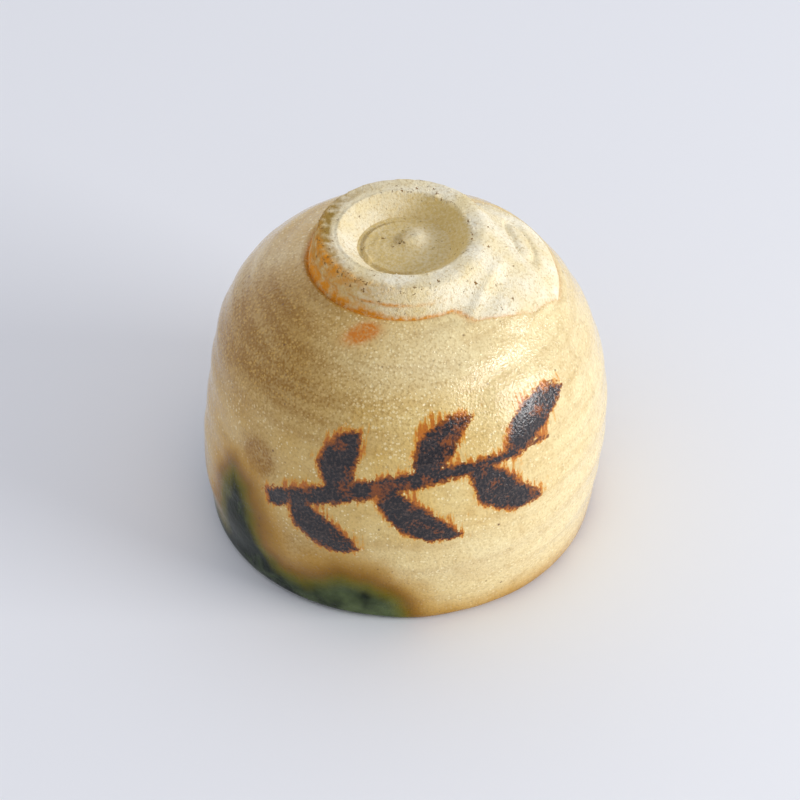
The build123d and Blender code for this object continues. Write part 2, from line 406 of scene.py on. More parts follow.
def lay_of(places, walk):
    """Bearing in degrees, radius in mm, and flow of points, from their places and walk along the outline."""
    x, y = places[:, 0] / MM, places[:, 1] / MM
    angle = np.arctan2(x, -y)
    flow = np.stack([MEAN_RADIUS * np.sin(angle), -MEAN_RADIUS * np.cos(angle), walk], 1)
    return np.degrees(angle), np.hypot(x, y), flow


def walk_of(outline_rows):
    """How far along the outline each point of a turned net lies, in mm."""
    walk = np.concatenate([[0], np.cumsum(np.linalg.norm(np.diff(outline_rows, axis=0), axis=1))])
    return np.concatenate([walk[:1], np.repeat(walk[1:-1], SIDES), walk[-1:]])


def bump_at(value, middle, half_width):
    """1 at the middle, falling softly to nothing beyond the half width."""
    return np.exp(-((value - middle) / half_width) ** 2)


def bump_round(value, middle, half_width):
    """The same for a bearing in degrees, which comes round again."""
    return bump_at((value - middle + 180) % 360 - 180, 0, half_width)


def ramp(value, low, high):
    """0 at low, 1 at high, and a soft slope between."""
    share = np.clip((value - low) / (high - low), 0, 1)
    return share * share * (3 - 2 * share)


# The edge of the glaze that ran over the smear, as a radius at some bearings
GLAZE_BEARINGS = [33.5, 38, 47.4, 56.3, 63.2, 72.4, 85.7]
GLAZE_RADII = [16.9, 17.6, 19.1, 20.5, 21.6, 22.4, 23.9]
SMEAR_BEARING, SMEAR_HALF_WIDTH = 60, 35
HOLLOW_RADIUS = 7.4
EDGE_FADE = 0.25
FAR_OFF = 9.0
places = points_of(skin)
bearing, radius, flow = lay_of(places, walk_of(rows))
ran_over = radius - np.interp(bearing, GLAZE_BEARINGS, GLAZE_RADII)
ran_over = np.where(np.abs(bearing - SMEAR_BEARING) < SMEAR_HALF_WIDTH, ran_over, -FAR_OFF)
covered = (ran_over > 0) & (to["luting_smear"] < to["outer_glaze"])
to["luting_smear"] = np.where(covered, FAR_OFF, to["luting_smear"])
to["outer_glaze"] = np.where(covered, 0, to["outer_glaze"])
to_iron = np.minimum(to["front_brushwork"], to["back_brushwork"])
to_straw = np.minimum(to["outer_glaze"], to["inner_glaze"])
to_bare = np.minimum(to["foot_ring"], to["luting_smear"])
to_hollow = np.where(radius < HOLLOW_RADIUS, to["clay_body"], FAR_OFF)
field = {
    "iron": to_iron - np.min([to_straw, to["copper_rim"], to_bare], axis=0),
    "edge": np.minimum(to_bare, to_hollow) - np.min([to_straw, to_iron, to["copper_rim"]], axis=0),
    "run": values_of(skin, "run"),
}
field["edge"] = np.maximum(field["edge"], ran_over)
field["bare"] = ramp(-field["edge"], -EDGE_FADE, EDGE_FADE)
print({name: (round(f.min(), 1), round(f.max(), 1)) for name, f in field.items()})

# %% [markdown]
# On the right the foot isn't a clean ring: soft clay was rubbed from it over the shoulder with a thumb.
# Rubbing evens out a surface, so there each point moves towards the middle of its neighbours again and
# again.

# %% Rubbing the smear smooth
RUBS, RUB_STRENGTH = 160, 1.3
RUB_BEARING, RUB_SPREAD = 82, 50
RUB_RADIUS, RUB_WIDTH, RUB_ABOVE = 14.6, 3.4, 42


def rubbed(grid, cover):
    """A grid of points, each moved towards its four neighbours by its share of cover."""
    around = np.roll(grid, 1, axis=1) + np.roll(grid, -1, axis=1)
    along = np.concatenate([grid[:1], grid[:-1]]) + np.concatenate([grid[1:], grid[-1:]])
    return grid + ((around + along) / 4 - grid) * cover


rub = RUB_STRENGTH * bump_round(bearing, RUB_BEARING, RUB_SPREAD) * bump_at(radius, RUB_RADIUS, RUB_WIDTH)
rub = rub * (places[:, 2] > RUB_ABOVE * MM)
net_shape = (len(rows) - 2, SIDES)
grid = places[1:-1].reshape(net_shape + (3,))
cover = np.clip(rub, 0, 1)[1:-1].reshape(net_shape + (1,))
for turn in range(RUBS):
    grid = rubbed(grid, cover)
places[1:-1] = grid.reshape(-1, 3)
print("rubbed", int((rub > 0.1).sum()), "points")

# %% [markdown]
# The land of the foot, which the cup stands on, was cut with one pass of a wire. It is flat, and its edges
# stayed sharp wherever nobody rubbed them, so there the points are brought to one level.

# %% Cutting the foot flat
LAND_HEIGHT, LAND_INSIDE, LAND_OUTSIDE = 51.5, 10.3, 12.95
LAND_FADE, LAND_FROM = 0.25, 50
radius = np.hypot(places[:, 0], places[:, 1]) / MM
on_land = ramp(radius, LAND_INSIDE - LAND_FADE, LAND_INSIDE) * (radius < LAND_OUTSIDE)
on_land = on_land * (places[:, 2] > LAND_FROM * MM)
places[:, 2] += (LAND_HEIGHT * MM - places[:, 2]) * on_land * (1 - np.clip(rub, 0, 1))
skin.vertices.foreach_set("co", places.ravel())
skin.update()
in_mm = places / MM
height = in_mm[:, 2]
print("cut flat", int((on_land > 0.5).sum()), "points")

# %% [markdown]
# Hand work shows as relief. The whole wall wavers a little, the fingers left slow rings as the clay was
# pulled up, a dry sponge dragged finer lines after them, and the bare clay of the foot is lumpy and gritty,
# and crumbles along the edges where the tool tore it. A wave that drifts gives the rings, and noise the
# rest. Geometry Nodes evaluates noise in three dimensions, so it has no seam, and moves each point along
# its own normal by the sum.

# %% The tree that works the surface by hand
HAND = {
    "Wobble Size": 17.0, "Wobble Height": 0.5,
    "Ring Pitch": 6.3, "Ring Height": 0.08,
    "Drag Height": 0.08,
    "Lump Size": 4.2, "Lump Height": 0.36,
    "Grit Size": 0.75, "Grit Height": 0.15,
    "Crumb Size": 1.1, "Crumb Height": 1.1,
}
RING_DRIFT, RING_LEAN = 9.0, 0.12
DRAG_STRETCH = (0.09, 0.09, 1.5)


def hand_tree(material):
    """A tree that moves points along their normals by wobble, rings, drag lines, lumps, grit and crumbs."""
    tree, given = new_tree("hand_work", HAND)
    here = add_node(tree, "GeometryNodeInputPosition")
    here = add_node(tree, "ShaderNodeVectorMath", {0: here, "Scale": 1 / MM}, operation="SCALE")
    bare, torn = (
        add_node(tree, "GeometryNodeInputNamedAttribute", {"Name": name}, data_type="FLOAT")
        for name in ("bare", "torn")
    )
    flow_here = add_node(tree, "GeometryNodeInputNamedAttribute", {"Name": "flow"}, data_type="FLOAT_VECTOR")
    glazed = add_node(tree, "ShaderNodeMath", {0: 1.0, 1: bare}, operation="SUBTRACT")
    noise = {}
    for name in ("Wobble", "Lump", "Grit", "Crumb"):
        scale = add_node(tree, "ShaderNodeMath", {0: 1.0, 1: given[f"{name} Size"]}, operation="DIVIDE")
        noise[name] = add_node(tree, "ShaderNodeTexNoise", {"Vector": here, "Scale": scale, "Detail": 2.0})

    drift = add_node(tree, "ShaderNodeMath", {0: noise["Wobble"], 1: RING_DRIFT}, operation="MULTIPLY")
    along = add_node(tree, "ShaderNodeSeparateXYZ", {0: flow_here}).outputs
    lean = add_node(tree, "ShaderNodeMath", {
        0: along["X"], 1: RING_LEAN, 2: along["Z"]}, operation="MULTIPLY_ADD")
    turns = add_node(tree, "ShaderNodeMath", {0: lean, 1: given["Ring Pitch"]}, operation="DIVIDE")
    phase = add_node(tree, "ShaderNodeMath", {0: turns, 1: 2 * math.pi, 2: drift}, operation="MULTIPLY_ADD")
    rings = add_node(tree, "ShaderNodeMath", {0: phase}, operation="SINE")
    stretched = add_node(tree, "ShaderNodeVectorMath", {0: flow_here, 1: DRAG_STRETCH}, operation="MULTIPLY")
    drag = add_node(tree, "ShaderNodeTexNoise", {"Vector": stretched, "Scale": 1.0, "Detail": 3.0})

    total = None
    for value, middle, size, mask in (
        (noise["Wobble"], 0.5, "Wobble Height", None), (rings, 0.0, "Ring Height", glazed),
        (drag, 0.5, "Drag Height", glazed), (noise["Lump"], 0.5, "Lump Height", bare),
        (noise["Grit"], 0.5, "Grit Height", bare), (noise["Crumb"], 0.56, "Crumb Height", torn),
    ):
        share = add_node(tree, "ShaderNodeMath", {0: value, 1: middle}, operation="SUBTRACT")
        raised = add_node(tree, "ShaderNodeMath", {0: share, 1: given[size]}, operation="MULTIPLY")
        if mask is not None:
            raised = add_node(tree, "ShaderNodeMath", {0: raised, 1: mask}, operation="MULTIPLY")
        if total is not None:
            raised = add_node(tree, "ShaderNodeMath", {0: total, 1: raised}, operation="ADD")
        total = raised
    normal = add_node(tree, "GeometryNodeInputNormal")
    metres = add_node(tree, "ShaderNodeMath", {0: total, 1: MM}, operation="MULTIPLY")
    offset = add_node(tree, "ShaderNodeVectorMath", {0: normal, "Scale": metres}, operation="SCALE")
    worked = add_node(tree, "GeometryNodeSetPosition", {"Geometry": given["Geometry"], "Offset": offset})
    return end_tree(tree, worked, material)


# %% Working the skin
def keep(mesh, name, values):
    """Stores one number, or one place, for each point of a mesh."""
    kind, key = ("FLOAT", "value") if values.ndim == 1 else ("FLOAT_VECTOR", "vector")
    made = mesh.attributes.get(name) or mesh.attributes.new(name, kind, "POINT")
    made.data.foreach_set(key, values.astype(np.float32).ravel())


INNER_EDGE, OUTER_EDGE, TORN_WIDTH, TORN_ABOVE = 10.0, 12.7, 0.5, 49.6
inner_edge = bump_at(radius, INNER_EDGE, TORN_WIDTH) * np.clip(bump_round(bearing, 125, 62) + 0.2, 0, 1)
outer_edge = bump_at(radius, OUTER_EDGE, TORN_WIDTH) * np.clip(bump_round(bearing, -40, 50) + 0.15, 0, 1)
field["torn"] = np.where(height > TORN_ABOVE, np.maximum(inner_edge, outer_edge), 0)
for name, values in (("bare", field["bare"]), ("torn", field["torn"]), ("flow", flow)):
    keep(skin, name, values)
working = hand_tree(clay_material)
skin = run_tree(guide, working, HAND)
moved = np.linalg.norm(points_of(skin) - places, axis=1) / MM
print("hand work moves points by up to", round(moved.max(), 2), "mm")

# %% [markdown]
# Some marks happen once, so they are pressed in one by one. The glaze stops in a soft roll where it was
# wiped off round the foot. The foot was trimmed in two passes, which left a fine step below the land. A
# fingertip left an oval dent in the smeared clay, the smear ends in a low crease, and on the right the
# haunch was patted flatter along a band, which later catches the window. Each one is a height in
# millimetres, worked out from where a point lies.

# %% Marks
def oval(places_mm, centre, size, turn=0.0):
    """0 at the middle of an oval seen from above, turned by some degrees, 1 on its line and more outside."""
    x, y = places_mm[:, 0] - centre[0], places_mm[:, 1] - centre[1]
    c, s = math.cos(math.radians(turn)), math.sin(math.radians(turn))
    return np.hypot((c * x + s * y) / size[0], (c * y - s * x) / size[1])


def spot(places_mm, centre, size, turn=0.0):
    """1 inside an oval spot on the surface, falling off at its edge."""
    return bump_at(oval(places_mm, centre, size, turn), 0, 1)


def line_mark(places_mm, start, end, width):
    """1 along a straight line seen from above, falling off across it and towards its ends."""
    start, end = np.array(start), np.array(end)
    along = end - start
    share = np.clip(((places_mm[:, :2] - start) @ along) / (along @ along), 0, 1)
    off = np.linalg.norm(places_mm[:, :2] - start - share[:, None] * along, axis=1)
    return np.exp(-(off / width) ** 2) * np.sqrt(np.clip(4 * share * (1 - share), 0, 1))


def press(mesh, heights):
    """Moves the points of a mesh along their normals, and keeps them off the floor."""
    normals = np.zeros(len(mesh.vertices) * 3)
    mesh.vertex_normals.foreach_get("vector", normals)
    where = points_of(mesh) + normals.reshape(-1, 3) * heights[:, None] * MM
    where[:, 2] = np.maximum(where[:, 2], 0)
    mesh.vertices.foreach_set("co", where.ravel())
    mesh.update()


# The middle of the patted band, as a height at some bearings
HAUNCH_BEARINGS = [12, 20, 25, 31, 42, 55, 71]
HAUNCH_HEIGHTS = [30.4, 33.0, 34.4, 36.2, 37.6, 38.1, 37.2]
HAUNCH_WIDTH, HAUNCH_SLOPE = 4.4, 0.15
MARKS_ABOVE = 36
above_band = (height - np.interp(bearing, HAUNCH_BEARINGS, HAUNCH_HEIGHTS)) / HAUNCH_WIDTH
along_band = ramp(bearing, 8, 24) * ramp(-bearing, -76, -58)
depth = -field["edge"]
front_left = bump_round(bearing, -45, 48)
dent = oval(in_mm, (17.4, 3.3), (1.6, 4.3), 20)
marks = {
    "roll": 0.16 * bump_at(depth, -0.75, 0.55) - 0.1 * bump_at(depth, 0.15, 0.3),
    "step": 0.16 * bump_at(depth, 2.7, 0.4) * front_left - 0.16 * bump_at(depth, 1.8, 0.4) * front_left,
    "dent": -0.42 * bump_at(dent, 1, 0.2) + 0.15 * bump_at(dent, 0, 0.7)
    - 0.35 * line_mark(in_mm, (15.1, 6.2), (17.6, -0.6), 0.35),
    "crease": 0.4 * line_mark(in_mm, (9.4, -14.2), (14.8, -3.4), 0.7)
    - 0.14 * line_mark(in_mm, (11.2, -14.0), (16.6, -3.6), 0.8),
    "haunch": -HAUNCH_SLOPE * HAUNCH_WIDTH * above_band * np.exp(-above_band ** 2 / 2) * along_band,
}
on_top = height > MARKS_ABOVE
for name in ("dent", "crease"):
    marks[name] = marks[name] * on_top
press(skin, sum(marks.values()))
print("marks pressed, in mm:", {name: (round(m.min(), 2), round(m.max(), 2)) for name, m in marks.items()})

# %% [markdown]
# Fire and ash colour the cup in patches, so a few more fields say where. Iron in the clay flashes orange
# along the edge of the glaze, most of all on the left of the foot. The glaze lies olive over the left
# shoulder and holds one round brown stain low on the left. One field lays painted shade on the left, away
# from the window, and painted light on the right, where the window falls. Among the pale patches is a painted
# sheen high on the left edge, and the pale crystal dots on the upper wall are partly painted glints of light.

# %% Patches
def wall_spot(centre_bearing, centre_height, width, rise):
    """A soft oval patch on the wall, by bearing in degrees and height in mm; its width and rise are in mm."""
    half_angle = math.degrees(width / MEAN_RADIUS)
    return bump_round(bearing, centre_bearing, half_angle) * bump_at(height, centre_height, rise)


left_side = np.maximum(bump_round(bearing, -95, 62), 0.9 * bump_round(bearing, -45, 38))
flash_width = np.where(depth > 0, 0.35 + 3.4 * bump_round(bearing, -72, 42), 0.25)
flash_share = np.clip(1.5 * left_side + 0.6 * bump_round(bearing, 8, 40) + 0.3, 0, 1)
flash = np.exp(-(depth / flash_width) ** 2) * flash_share
second_flash = 0.8 * bump_at(depth, 2.3, 0.3) * bump_round(bearing, -14, 26)
land_flash = 0.9 * bump_at(radius, 13.0, 0.8) * bump_round(bearing, -62, 34) * (height > 49)
field["flash"] = np.max([flash, second_flash, land_flash], axis=0) * (radius > 8)
# Darker olive on the left of the foot's land and flank
field["scorch"] = bump_round(bearing, -95, 50) * ramp(radius, 10.4, 11.6) * ramp(-radius, -16, -13)
field["pitted"] = np.clip(0.55 * field["torn"] + 0.7 * bump_at(radius, 12.5, 0.9) * front_left + 0.025, 0, 1)
# Painted shade in the shelter of the foot's hollow, and the tan colour of the front of the foot's edge
hollow_shade = ramp(-radius, -10.4, -9.2) * (height > 46) * ramp(in_mm[:, 0], -7, 6)
field["toasted"] = np.maximum(hollow_shade, 0.85 * bump_round(bearing, -55, 62) * ramp(radius, 11.4, 12.8))
field["olive"] = np.clip(
    1.2 * wall_spot(-62, 41, 15, 7) + 0.5 * wall_spot(-95, 33, 14, 9)
    + 0.35 * wall_spot(-30, 37, 12, 5), 0, 1)
field["stain"] = np.clip(2.0 * wall_spot(-46.7, 25.2, 2.8, 3.0) + 0.6 * wall_spot(-32, 12.6, 6, 3.5), 0, 1)
# Painted shade on the left, away from the window, and painted light on the right, where the window falls
field["shade_left_light_right"] = np.clip(bump_round(bearing, -78, 62) - 0.9 * bump_round(bearing, 68, 52), -1, 1)
# Paler glaze in patches; the one high on the left edge is a painted sheen
field["pale_and_sheen"] = np.clip(
    0.55 * wall_spot(-98, 41, 7, 6) + 0.55 * wall_spot(12, 43.5, 15, 4)
    + 0.4 * wall_spot(20, 12, 16, 7), 0, 1)
# Pale crystal dots on the upper wall, partly painted glints of light
field["crystals_and_glints"] = np.clip(
    wall_spot(-12, 41, 20, 6) + 0.7 * wall_spot(-60, 38, 16, 8)
    + 0.4 * wall_spot(15, 33, 12, 6), 0, 1)
field["spot"] = np.clip(2.8 * spot(in_mm, (-6.2, -16.3), (2.0, 1.1), 12), 0, 1) * (height > 43)
for name in ("flash", "scorch", "pitted", "toasted", "olive", "stain"):
    print(name, "is strongest at", round(float(field[name].max()), 2))

# %% [markdown]
# The lip was dipped in copper glaze at a slant, and the copper ran: a long tongue climbs the left of the
# wall, a lower one follows at the front, and the right has almost none. Its edge is drawn as
# heights round the cup, and each point of the wall gets its distance from that line, measured on the
# unrolled wall.

# %% The copper's edge
# Bearing in degrees and height in mm
COPPER_LINE = [
    (-150, 6.0), (-120, 11.0), (-95, 6.0), (-67, 4.0), (-63, 13.0), (-58, 19.0), (-51.5, 17.5),
    (-46.5, 13.0), (-43, 9.0), (-38, 5.8), (-31, 5.0), (-25, 6.8), (-18, 8.4), (-10, 7.5), (-3, 5.0),
    (1, 1.0), (6, -1.6), (60, -1.8), (95, -1.0), (130, 6.0), (165, 10.0),
]
LINE_POINTS, LINE_END = 801, 200
BELLY_RADIUS = 30.5
WALL_PER_DEGREE = math.radians(BELLY_RADIUS)
FAR = 20.0
line_bearings, line_heights = np.array(COPPER_LINE).T
copper_line = KDTree(LINE_POINTS)
for number, angle in enumerate(np.linspace(-LINE_END, LINE_END, LINE_POINTS)):
    line_height = np.interp(angle, line_bearings, line_heights, period=360)
    copper_line.insert((angle * WALL_PER_DEGREE, line_height, 0), number)
copper_line.balance()
field["copper"] = np.full(len(height), FAR)
copper_top = np.interp(bearing, line_bearings, line_heights, period=360)
for i in np.flatnonzero(height < line_heights.max() + FAR / 2):
    away = copper_line.find((bearing[i] * WALL_PER_DEGREE, height[i], 0))[2]
    field["copper"][i] = away if height[i] > copper_top[i] else -away
print("copper covers", int((field["copper"] < 0).sum()), "points")

# %% [markdown]
# The skin is cut up again into the pieces that the potter joined: each face goes to the solid that it lies
# on. Every piece is then closed with an underside. A coat gets a thin one just above the clay, and the foot
# ring and the smear go straight down to the bowl that they were stuck to. The edge between top and side is
# marked sharp, so that the shading of two neighbours runs on across the line where they meet.

# %% Cutting pieces
COAT_DEPTH = 0.34
LEAST_DEPTH = 0.15
clay_solid = frame["nodes"]["clay_body"].data
bowl = BVHTree.FromPolygons([v.co for v in clay_solid.vertices], [p.vertices for p in clay_solid.polygons])


def under_coat(points, normals):
    """The underside of a coat, a little less than its thickness below the top."""
    return points - normals * COAT_DEPTH * MM


def down_to_bowl(points, normals):
    """The underside of clay that was set on the bowl, straight below the top."""
    under = points.copy()
    for i, point in enumerate(points):
        hit = bowl.ray_cast(Vector(point) + Vector((0, 0, LEAST_DEPTH * MM)), Vector((0, 0, -1)))[0]
        floor_here = hit.z if hit else point[2] - COAT_DEPTH * MM
        under[i, 2] = min(floor_here, point[2] - LEAST_DEPTH * MM)
    return under


def cut_piece(name, mesh, faces, underside, fields):
    """A closed piece from some faces of a mesh, with an underside and the fields that its material reads."""
    used, inverse = np.unique(np.concatenate(faces), return_inverse=True)
    tops = np.split(inverse, np.cumsum([len(face) for face in faces])[:-1])
    count = len(used)
    ahead = np.concatenate([np.roll(top, -1) for top in tops])
    rim = ~np.isin(inverse * count + ahead, ahead * count + inverse)
    normals = np.zeros(len(mesh.vertices) * 3)
    mesh.vertex_normals.foreach_get("vector", normals)
    points = points_of(mesh)[used]
    under = underside(points, normals.reshape(-1, 3)[used])
    walls = [(b, a, a + count, b + count) for a, b in zip(inverse[rim].tolist(), ahead[rim].tolist())]
    bottoms = [(top[::-1] + count).tolist() for top in tops]
    made = bpy.data.meshes.new(name)
    all_faces = [top.tolist() for top in tops] + bottoms + walls
    made.from_pydata(np.concatenate([points, under]).tolist(), [], all_faces)
    made.shade_smooth()
    ends = np.zeros(len(made.edges) * 2, int)
    made.edges.foreach_get("vertices", ends)
    ends = np.sort(ends.reshape(-1, 2), axis=1)
    low, high = np.minimum(inverse[rim], ahead[rim]), np.maximum(inverse[rim], ahead[rim])
    rim_code = np.concatenate([low * 2 * count + high, (low + count) * 2 * count + high + count])
    sharp = made.attributes.new("sharp_edge", "BOOLEAN", "EDGE")
    sharp.data.foreach_set("value", np.isin(ends[:, 0] * 2 * count + ends[:, 1], rim_code))
    for key, values in fields.items():
        keep(made, key, np.concatenate([values[used], values[used]]))
    keep(made, "top", np.concatenate([np.ones(count), np.zeros(count)]))
    return placed(name, made)


# %% Sorting the faces
GLAZE_FIELDS = ["iron", "run", "copper", "olive", "stain", "spot", "flash", "shade_left_light_right", "pale_and_sheen", "crystals_and_glints"]
CLAY_FIELDS = ["flash", "scorch", "pitted", "toasted"]
starts = np.zeros(len(skin.polygons), int)
skin.polygons.foreach_get("loop_start", starts)
corners = np.zeros(len(skin.loops), int)
skin.loops.foreach_get("vertex_index", corners)
skin_faces = np.split(corners, starts[1:])
owners = COATS + BARE
nearness = np.stack([to[name] for name in owners[:-1]] + [to_hollow], 1)
face_sizes = np.diff(np.append(starts, len(corners)))
face_owner = np.argmin(np.add.reduceat(nearness[corners], starts, axis=0) / face_sizes[:, None], axis=1)
pieces = {}
for number, name in enumerate(owners[:-1]):
    mine = [skin_faces[i] for i in np.flatnonzero(face_owner == number)]
    is_coat = name in COATS
    fields = {key: field[key] for key in (GLAZE_FIELDS if is_coat else CLAY_FIELDS)}
    underside = under_coat if is_coat else down_to_bowl
    pieces[name] = cut_piece(f"{name}_fired", skin, mine, underside, dict(fields, flow=flow))
    pieces[name].data.calc_loop_triangles()
    print(name, len(mine), "faces on top,", len(pieces[name].data.loop_triangles), "triangles in all")

# %% [markdown]
# The bowl itself is a second net laid on the clay body alone. Most of it is hidden under the coats, so its
# rows are wide there, and close only in the foot's hollow, the one place where the thrown clay can be seen.
# There the trimming tool left a spiral, a flake that it didn't clear away, and a point in the middle, torn
# open on one side.

# %% The bowl
BOWL_GUIDE = [(0.0, 50.0), (1.4, 49.7), (3.2, 49.0), (7.2, 48.6), (14.0, 46.6), (21.5, 43.2)] + GUIDE[10:]
BOWL_GAP, HOLLOW_GAP = 0.9, 0.16
HIDDEN_SINK, LEDGE_SINK = 0.08, 0.3
HOLLOW_REACH, HOLLOW_FROM, DOME_FROM = 8.2, 46, 45
SPIRAL_PITCH, SPIRAL_DEPTH = 1.15, 0.035


def trimming(places_mm, radius):
    """Heights in mm in the foot's hollow: the tool's spiral and flake, the torn point, the foot's joint."""
    angle = np.arctan2(places_mm[:, 1], places_mm[:, 0])
    turns = np.sin(2 * math.pi * radius / SPIRAL_PITCH - angle)
    spiral = SPIRAL_DEPTH * turns * ramp(radius, 2.5, 3.8) * ramp(-radius, -6.6, -6.0)
    on_left = ramp(-places_mm[:, 0], -2.5, 1.5)
    wander = radius + 0.25 * np.sin(angle + 0.6)
    groove = (0.2 * bump_at(wander, 5.75, 0.2) - 0.32 * bump_at(wander, 6.2, 0.22)) * on_left
    flake = 0.95 * spot(places_mm, (-5.4, -3.2), (0.36, 1.0), 25)
    point = 0.9 * spot(places_mm, (1.8, 1.5), (1.5, 2.0))
    point -= 1.1 * spot(places_mm, (-0.7, 1.7), (0.7, 1.3), -15)
    flat = -0.4 * spot(places_mm, (-0.2, -1.0), (1.5, 1.1))
    joint = 0.22 * bump_at(radius, HOLLOW_RADIUS, 0.7)
    return spiral + groove + flake + point + flat + joint


bowl_outline, _ = finely(BOWL_GUIDE)
in_hollow = (bowl_outline[:, 0] < HOLLOW_REACH) & (bowl_outline[:, 1] > HOLLOW_FROM)
bowl_rows = rows_along(bowl_outline, np.where(in_hollow, HOLLOW_GAP, BOWL_GAP))
bowl_net = turned("clay_body_fired", bowl_rows)
run_tree(bowl_net, laying_tree(["clay_body"], clay_material), LAYING)
bowl_places = points_of(bowl_net.data) / MM
_, bowl_radius, bowl_flow = lay_of(bowl_places * MM, walk_of(bowl_rows))
on_dome = bowl_places[:, 2] > DOME_FROM
hollow = ramp(-bowl_radius, -8.6, -7.6) * on_dome
crater = spot(bowl_places, (-0.6, 1.7), (1.0, 1.4))
for name, values in (("bare", hollow), ("torn", 0.6 * crater * hollow), ("flow", bowl_flow)):
    keep(bowl_net.data, name, values)
run_tree(bowl_net, working, dict(HAND, **{"Ring Height": 0.0, "Drag Height": 0.0, "Grit Height": 0.24}))
ledge = bump_at(bowl_radius, 15.0, 2.0) * on_dome
bowl_marks = trimming(bowl_places, bowl_radius) * hollow
press(bowl_net.data, bowl_marks - HIDDEN_SINK * (1 - hollow) - LEDGE_SINK * ledge)
# The hollow is painted in shade, but the lit side of the point in the middle is left pale, as painted light
lit_point = spot(bowl_places, (2.0, 1.4), (1.9, 2.3))
bowl_fields = {
    "flash": 0 * hollow, "scorch": 0 * hollow, "pitted": 0.13 + 0.5 * crater,
    "toasted": (0.85 - 0.85 * lit_point) * hollow,
}
for name, values in bowl_fields.items():
    keep(bowl_net.data, name, values)
pieces["clay_body"] = bowl_net
bpy.data.objects.remove(guide)
print("bowl has", len(bowl_net.data.polygons), "faces in", len(bowl_rows), "rows")

# %% [markdown]
# The glaze is one melt. Straw ash glaze covers the cup, copper colours it green at the rim, and iron
# painted on the clay comes up through it blue-black, with rust at its edge and amber flames towards the
# foot. Because the three melt into each other, the three coats share one way of mixing, driven by the
# fields: an edge of a field is drawn with noise added to it, so it frays as a melt does. A flame is longest
# where the iron lies straight below it, and noise that is pulled out along the flow decides how far each
# lick of it reaches. Glaze is glass, so its IOR is 1.5, but where the copper is thick it keeps a fine skin
# of crystals that mirrors less. Its surface is not quite smooth: pinholes and an orange peel break each
# reflection into sparks.

# %% Glaze
STRETCHED = {"pull": (0.1, 0.1, 0.07), "flame": (1.9, 1.9, 0.3), "streak": (0.05, 0.05, 0.5)}
ROUND = {"cloud": (6.0, 4.0), "gust": (3.6, 2.0), "blob": (1.8, 2.0), "speck": (0.42, 3.0)}


